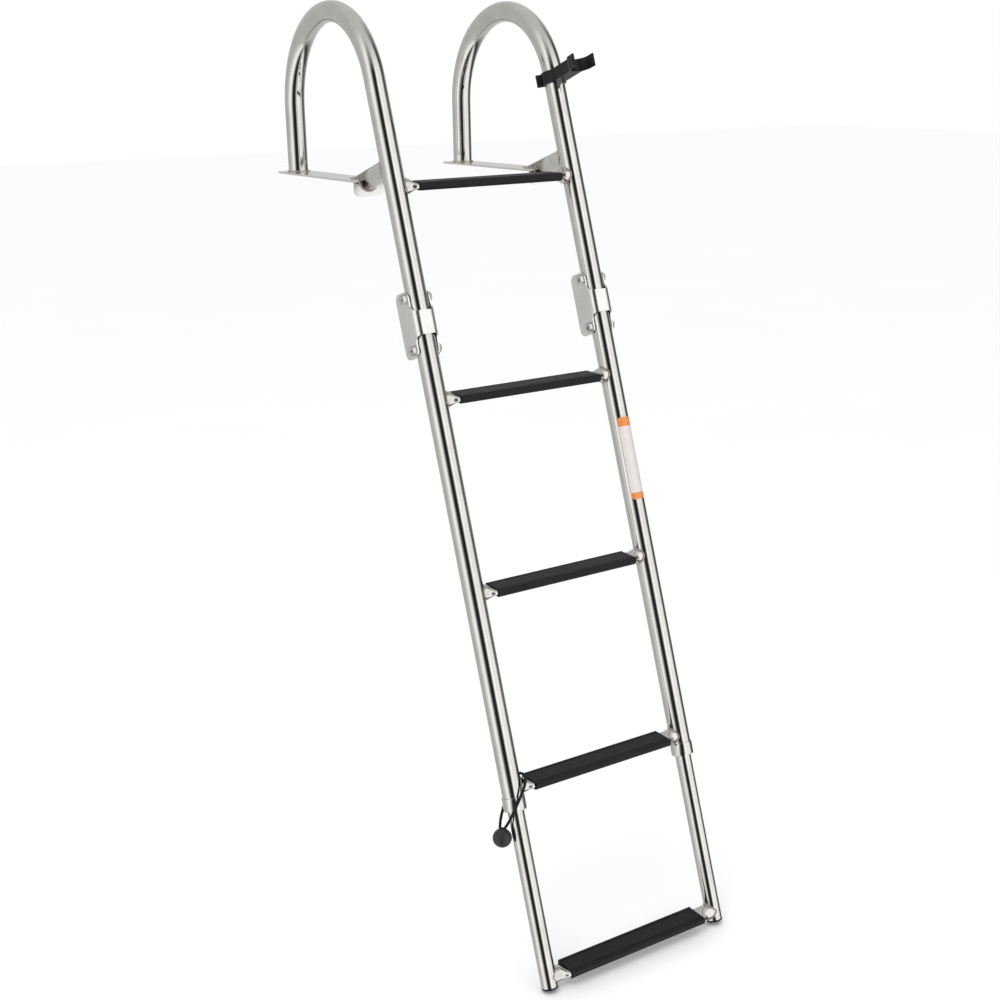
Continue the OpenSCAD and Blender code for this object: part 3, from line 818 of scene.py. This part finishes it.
def make_bracket(word, side):
    """The strap as a sheet of quads, given its thickness, with rounded edges."""
    columns, web_columns = 22, 8
    web_u = EAR_REACH + TURN_FROM + STRAP_R * math.pi / 2
    full = web_u + STRAP_HALF - STRAP_R
    lip = [EAR_HALF - EAR_CORNER + EAR_CORNER * math.sin(math.pi / 2 * i / 10) for i in range(11)]
    sweep = [WEB_HALF + WEB_SWEEP * (1 - math.cos(math.pi / 2 * i / 14)) for i in range(15)]
    above = sorted(set(round(v, 7) for v in sweep + lip))
    web = [WEB_HALF * (i / 5 - 1) for i in range(11)]
    rows = [-v for v in reversed(above)] + web[1:-1] + above
    points, faces, index = [], [], {}
    for layer, flank in ((1, 1), (1, -1), (-1, 1), (-1, -1)):
        for r, v in enumerate(rows):
            on_web = abs(v) <= WEB_HALF + 1e-9
            rear, front = ear_limits(v)
            start = strap_u(rear)
            end = web_u if on_web else min(web_u, strap_u(front))
            places = [start + (end - start) * c / columns for c in range(columns + 1)]
            if on_web:
                places += [web_u + (full - web_u) * c / web_columns
                           for c in range(1, web_columns + 1)]
            for c, u in enumerate(places):
                x, inboard, (normal_x, normal_inboard) = strap_place(u)
                lift = layer * BRACKET_T / 2
                index[(r, c, flank, layer)] = len(points)
                points.append(on_side(side, FOLD_AT - v, flank * (x + lift * normal_x),
                                      inboard + lift * normal_inboard))
    outline = {}
    for flank in (1, -1):
        for r in range(len(rows) - 1):
            last = columns
            if (r, columns + 1, flank, 1) in index and (r + 1, columns + 1, flank, 1) in index:
                last = columns + web_columns
            for c in range(last):
                cell = [(r, c), (r, c + 1), (r + 1, c + 1), (r + 1, c)]
                for layer in (1, -1):
                    face = [index[(*corner, flank, layer)] for corner in cell]
                    faces.append(face if layer * flank > 0 else face[::-1])
                for a, b in zip(cell, cell[1:] + cell[:1]):
                    edge = (flank, *sorted((a, b)))
                    outline[edge] = outline.get(edge, 0) + 1
    for (flank, a, b), uses in outline.items():
        on_middle = a[1] == b[1] == columns + web_columns
        if uses == 1 and not on_middle:
            faces.append([index[(*corner, flank, layer)]
                          for corner, layer in ((a, 1), (b, 1), (b, -1), (a, -1))])
    uvs = [[(0.0, 0.0)] * len(f) for f in faces]
    mesh = to_mesh("bracket", (points, faces, uvs), bevel=0.4 * MM, angle=60)
    keep_flats(piece(f"fold_strap_{word}", mesh, SATIN,
                     [f"fold_bracket_{word}"], smooth=50))


def hexagon(across):
    """The radius of a hexagon by its angle."""
    def radius(turn):
        return across / 2 / math.cos((turn + math.pi / 6) % (math.pi / 3) - math.pi / 6)
    return radius


WASHER_R, WASHER_T = 8 * MM, 1.2 * MM
NUT_H, NUT_ACROSS = 6.5 * MM, 13 * MM
BOLT_R, BOLT_TIP, HEAD_R, HEAD_H, SOCKET_ACROSS = 4 * MM, 2.5 * MM, 7.5 * MM, 4 * MM, 5 * MM
OUTSIDE = BRACKET_OUT + WASHER_T  # where the nut and the head bear on the washers


def washer(start, aim):
    bore, edge = BOLT_R + 0.1 * MM, 0.3 * MM
    profile = [(bore, 0), (WASHER_R - edge, 0), (WASHER_R, edge), (WASHER_R, WASHER_T - edge),
               (WASHER_R - edge, WASHER_T), (bore, WASHER_T)]
    return turned(start, aim, INBOARD, profile, 48)


def nut(start):
    """A hexagon nut, chamfered at both faces."""
    corner = hexagon(NUT_ACROSS)

    def low(turn):
        return (corner(turn) - NUT_ACROSS / 2) * 0.6

    def high(turn):
        return NUT_H - low(turn)

    flat, bore, countersink = NUT_ACROSS / 2 * 0.97, BOLT_R - 0.1 * MM, 0.7 * MM
    profile = [(bore, 0), (flat, 0), (corner, low), (corner, NUT_H / 2), (corner, high),
               (flat, NUT_H), (BOLT_R + countersink, NUT_H), (bore, NUT_H - countersink)]
    return turned(start, -X, INBOARD, profile, 72)


def bolt(start):
    """From the grooved tip, through the nut and tube, to a domed head with a hexagon socket."""
    axle, tip = 0.2 * MM, NUT_H + BOLT_TIP
    back = -2 * OUTSIDE
    face = back - HEAD_H
    floor = face + 2.2 * MM
    profile = [(axle, tip), (BOLT_R - 0.9 * MM, tip)]
    for i in range(9):
        groove = 0.35 * MM if i % 2 == 0 else 0.0
        profile.append((BOLT_R - groove, tip - 0.55 * MM - i * 0.5 * MM))
    profile += [(BOLT_R, 0), (BOLT_R, back), (HEAD_R, back)]
    for i in range(1, 11):
        turn = math.pi / 2 * 0.62 * i / 10
        profile.append((HEAD_R * math.cos(turn), back - HEAD_H * math.sin(turn) ** 0.9))
    socket = hexagon(SOCKET_ACROSS)
    profile += [(lambda turn: socket(turn) + 0.5 * MM, face), (socket, face + 0.3 * MM),
                (socket, floor), (axle, floor + 0.6 * MM)]
    return turned(start, -X, INBOARD, profile, 72)


def make_fasteners():
    nuts, washers, bolts = [], [], ([], [])
    for side in SIDES.values():
        for at, bolts_here in zip(PIVOTS, bolts):
            washers += [washer(on_side(side, at, face * BRACKET_OUT), face * X)
                        for face in (LEFT, RIGHT)]
            start = on_side(side, at, -OUTSIDE)
            nuts.append(nut(start))
            bolts_here.append(bolt(start))
    for name, parts, node in (("hex_nuts", nuts, "pivot_nuts"),
                              ("flat_washers", washers, "pivot_washers"),
                              ("upper_bolts", bolts[0], "upper_pivot_bolts"),
                              ("lower_bolts", bolts[1], "lower_pivot_bolts")):
        mesh = to_mesh(name, merged(*parts))
        piece(name, mesh, FASTENER, [node], smooth=32)



# ---------------------------------------------------------------- clip, label, ball and cord
def clip_outline():
    """The clip's section (x, inboard): a closed jaw on the hook tube and an open one behind it."""
    open_at = -PIVOT_GAP / MM
    arcs = [  # one half: centre, radius, first and last angle, steps
        (0, open_at, 16.5, 90, 0, 20), (18.5, open_at - 9, 1.9, 165, 375, 14),
        (0, open_at, 19.5, 0, 45.1, 14), (18, open_at + 18.06, 6, 225.1, 180, 8),
        (18, -17.35, 6, 180, 136.1, 8), (0, 0, 19, -43.9, 32, 24),
        (21.5, 14.5, 1.8, -68.5, 111.5, 12), (13.9, 11.5, 1.8, 111.5, 190, 8),
        (0, 0, 16, 44, -90, 28),
    ]
    half = []
    for x, inboard, radius, first, last, steps in arcs:
        for i in range(steps + 1):
            angle = math.radians(first + (last - first) * i / steps)
            half.append(Vector((x + radius * math.cos(angle), inboard + radius * math.sin(angle))))
    mirrored = [Vector((-p.x, p.y)) for p in reversed(half)]
    return [p * MM for p in half + mirrored[1:-1]]


def make_clip():
    outline, rows = clip_outline(), 8
    rings = []
    for i in range(rows + 1):
        at = CLIP_AT + CLIP_H / 2 - CLIP_H * i / rows
        rings.append([on_side(RIGHT, at, p.x, p.y) for p in outline])
    mesh = to_mesh("clip", loft(rings, ends=(True, True)), bevel=0.7 * MM, segments=3, angle=75)
    keep_flats(piece("storage_clip", mesh, CLIP_PLASTIC, ["stow_clip"],
                     smooth=50))


def make_label():
    """A thin sticker bent round the tube, with rounded corners."""
    rows, columns = 40, 24
    outside = [i / rows for i in range(rows + 1)]
    layers = ((TUBE_R + 0.28 * MM, outside), (TUBE_R + 0.02 * MM, outside[::-1]))
    rings = []
    for radius, shares in layers:
        for share in shares:
            cut = corner_cut(min(share, 1 - share) * LABEL_LENGTH, 3 * MM)
            half = LABEL_HALF_TURN - cut / TUBE_R
            centre = on_side(RIGHT, LABEL_LOW_AT - share * LABEL_LENGTH)
            turns = [half * (2 * c / columns - 1) for c in range(columns + 1)]
            rings.append([centre + on_circle(turn, radius, -INBOARD, X) for turn in turns])
    points, faces, uvs = loft(rings, joined=False, loop=True)
    width = columns + 1
    for c in (0, columns):
        for i in range(rows):
            under = len(rings) - 1 - i
            faces.append([i * width + c, (i + 1) * width + c, (under - 1) * width + c,
                          under * width + c])
            uvs.append([(0.0, 0.0)] * 4)
    mesh = to_mesh("label", (points, faces, uvs))
    piece("plain_label", mesh, LABEL, ["safety_label"], smooth=60)


def smooth_line(points, per):
    """A Catmull-Rom curve through the points."""
    p = [Vector(q) * MM for q in points]
    p = [p[0] * 2 - p[1], *p, p[-1] * 2 - p[-2]]
    line = []
    for i in range(1, len(p) - 2):
        for k in range(per):
            t = k / per
            line.append(0.5 * ((2 * p[i]) + (p[i + 1] - p[i - 1]) * t
                               + (2 * p[i - 1] - 5 * p[i] + 4 * p[i + 1] - p[i + 2]) * t * t
                               + (3 * p[i] - p[i - 1] - 3 * p[i + 1] + p[i + 2]) * t ** 3))
    line.append(p[-2])
    return line


def make_cord():
    """Braided elastic cord: two sets of strands cross round it."""
    strands, lay, sections = 6, 20 * MM, 32  # a strand goes once round the cord in one lay
    line = smooth_line(CORD_ROUTE, 24)
    aims = [(line[min(i + 1, len(line) - 1)] - line[max(i - 1, 0)]).normalized()
            for i in range(len(line))]
    across = aims[0].orthogonal().normalized()
    rings, run = [], 0.0
    for i, (p, aim) in enumerate(zip(line, aims)):
        across = (across - across.dot(aim) * aim).normalized()
        other = aim.cross(across)
        if i:
            run += (p - line[i - 1]).length
        twist = strands * 2 * math.pi * run / lay
        ring = []
        for k in range(sections):
            turn = 2 * math.pi * k / sections
            over = max(math.sin(strands * turn + twist), math.sin(strands * turn - twist))
            ring.append(p + on_circle(turn, CORD_R * (0.95 + 0.05 * over), across, other))
        rings.append(ring)
    mesh = to_mesh("cord", loft(rings, ends=(True, True)))
    cord = piece("elastic_cord", mesh, CORD, ["retainer_cord"], smooth=80)
    ball = make_ball()


def make_ball():
    """The ball, with a moulding seam round its middle and a short collar where the cord enters."""
    axle, rows, covered, seam = 0.3 * MM, 40, 0.885, 0.12 * MM
    profile = [(axle, 0.2 * MM - BALL_R)]
    for i in range(1, rows):
        angle = math.pi * covered * i / rows - math.pi / 2
        raised = seam if abs(angle) < math.radians(2) else 0.0
        profile.append((BALL_R * math.cos(angle) + raised, BALL_R * math.sin(angle)))
    collar = ((5.2, -0.5), (5.0, 0.4), (4.5, 0.95), (3.6, 0.9), (3.2, 0.2))
    profile += [(radius * MM, BALL_R + above * MM) for radius, above in collar]
    profile.append((axle, BALL_R - 0.4 * MM))
    mesh = to_mesh("ball", turned(BALL_CENTRE, Vector((0, 0, 1)), X, profile, 72))
    return piece("ball_toggle", mesh, RUBBER, ["retainer_ball"], smooth=60)


make_cord()
make_hooks()
make_plates()
make_braces()
make_steps()
make_treads()
make_side_tubes()
for tube_word, tube_side in SIDES.items():
    make_bracket(tube_word, tube_side)
make_fasteners()
make_clip()
make_label()

# The plugs and bushes inside the tubes stay as the CAD made them
for cad_name in ("hook_plug", "side_plug", "collar_bush", "slide_bush"):
    for tube_word in SIDES:
        node_object = frame["nodes"][f"{cad_name}_{tube_word}"]
        node_object.data.materials.clear()
        node_object.data.materials.append(NYLON)


# ---------------------------------------------------------------- studio
def make_floor():
    z, reach = CAD_BOX[0].z - 0.4 * MM, 20
    corners = [(-reach, -reach, z), (reach, -reach, z), (reach, reach, z), (-reach, reach, z)]
    mesh = bpy.data.meshes.new("floor")
    mesh.from_pydata(corners, [], [(0, 1, 2, 3)])
    floor = bpy.data.objects.new("floor", mesh)
    bpy.context.scene.collection.objects.link(floor)
    n = Surface("floor_paper", Roughness=0.9, Specular_IOR_Level=0.1)
    clouds = n.noise(n.place((0.002,) * 3), 2, 0.5)
    n.plug("Base Color", n.ramp(clouds, [(0.3, (0.975,) * 3), (0.7, (0.985,) * 3)]))
    mesh.materials.append(n.material)
    floor.visible_glossy = False


def make_world():
    """Plain white, but glossy surfaces reflect upright bands of light and dark."""
    world = bpy.data.worlds.new("studio")
    bpy.context.scene.world = world
    world.use_nodes = True
    world.node_tree.nodes.clear()
    n = Tree(world.node_tree)
    axes = n.add("SeparateXYZ", Vector=n.add("TexCoord").outputs["Generated"])
    towards_front = n.maths("MULTIPLY", axes.outputs["Y"], -1.0)
    turn = n.maths("ARCTAN2", axes.outputs["X"], towards_front)
    from_camera = n.maths("ADD", turn, math.pi - CAMERA_AZIMUTH)
    share = n.maths("FRACT", n.maths("DIVIDE", from_camera, 2 * math.pi))
    # Degrees round from the camera, and how bright the surroundings are there
    bands = [(-180, 0.68), (-140, 0.62), (-100, 0.60), (-78, 0.72), (-62, 1.05), (-48, 1.40),
             (-34, 1.10), (-23, 0.40), (-14, 0.03), (11, 0.02), (18, 0.15), (27, 1.25),
             (42, 1.50), (56, 1.10), (70, 1.35), (84, 1.20), (96, 0.60), (108, 0.07),
             (130, 0.08), (142, 0.35), (160, 0.68), (180, 0.68)]
    brightest, warmth = 1.5, (1, 0.99, 0.975)
    stops = [((degrees + 180) / 360, [value / brightest * tint for tint in warmth])
             for degrees, value in bands]
    overhead = n.span(axes.outputs["Z"], 0.6, 0.97, 0.0, 1.0)
    sky = n.mix(overhead, n.ramp(share, stops), (0.48, 0.48, 0.475, 1))
    reflected = n.add("Background", Color=sky, Strength=brightest)
    plain = n.add("Background", Color=(1, 1, 1, 1), Strength=1.0)
    chosen = n.add("MixShader")
    is_glossy = n.add("LightPath").outputs["Is Glossy Ray"]
    for socket, value in zip(chosen.inputs, (is_glossy, plain.outputs[0], reflected.outputs[0])):
        n.feed(socket, value)
    n.add("OutputWorld", Surface=chosen.outputs[0])


def make_softbox():
    data = bpy.data.lights.new("softbox", "AREA")
    data.shape, data.size, data.energy = "DISK", 1.6, 18
    light = bpy.data.objects.new("softbox", data)
    bpy.context.scene.collection.objects.link(light)
    spot, lit_point = Vector((-1.6, -1.2, 1.6)), Vector((0, -0.1, -0.4))
    light.location = spot
    light.rotation_mode = "QUATERNION"
    light.rotation_quaternion = (lit_point - spot).to_track_quat("-Z", "Y")
    light.visible_glossy = False


make_floor()
make_world()
make_softbox()
bpy.context.scene.view_settings.view_transform = "Standard"
bpy.context.view_layer.update()
